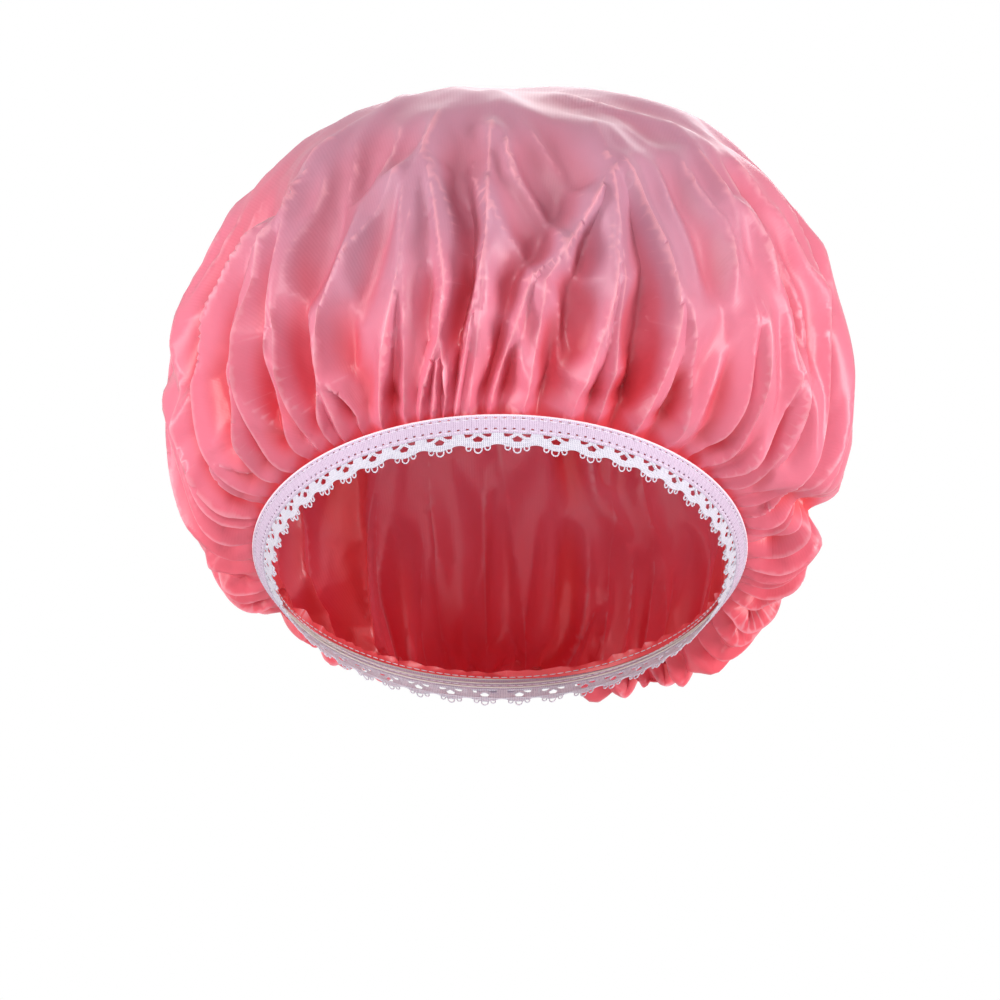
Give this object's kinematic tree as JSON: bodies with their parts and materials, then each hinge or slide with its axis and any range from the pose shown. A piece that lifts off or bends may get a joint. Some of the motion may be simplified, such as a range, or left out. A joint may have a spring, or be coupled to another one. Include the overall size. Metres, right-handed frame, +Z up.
{
  "type": "shower cap",
  "caption": "Puffed, half-clear film shower cap, gathered in pleats onto an elastic lace trim round a tilted oval opening; it keeps hair dry.",
  "frame": {"origin": "centre of the oval opening, at the level of the tape's upper edge", "axes": "+Z up as worn, +Y to the back of the wearer's head, +X to the right as seen from the front"},
  "size_m": [0.1927, 0.2023, 0.1801],
  "materials": {
    "film": "half-clear film with a fine rib, satin gloss",
    "tape": "knitted elastic, matt",
    "lace": "knitted lace, matt",
    "rubber": "covered rubber thread",
    "thread": "sewing thread"
  },
  "bodies": {
    "cap": {"cap_film": "film", "elastic_tape": "tape", "rubber_thread_1": "rubber", "rubber_thread_2": "rubber", "rubber_thread_3": "rubber", "lace_edging": "lace", "upper_needle_thread": "thread", "upper_bobbin_thread": "thread", "lower_needle_thread": "thread", "lower_bobbin_thread": "thread"},
    "nape": {"tape_lap": "tape", "lap_tack_left": "thread", "lap_tack_right": "thread"}
  },
  "joints": [
    {"name": "nape_stretch", "type": "slide", "parent": "cap", "child": "nape", "axis": [0, 0.9135, -0.4067], "range_m": [0, 0.05], "stiffness_N_per_m": 25, "deforming": ["cap_film", "elastic_tape", "rubber_thread_1", "rubber_thread_2", "rubber_thread_3", "lace_edging", "upper_needle_thread", "upper_bobbin_thread", "lower_needle_thread", "lower_bobbin_thread"]}
  ]
}
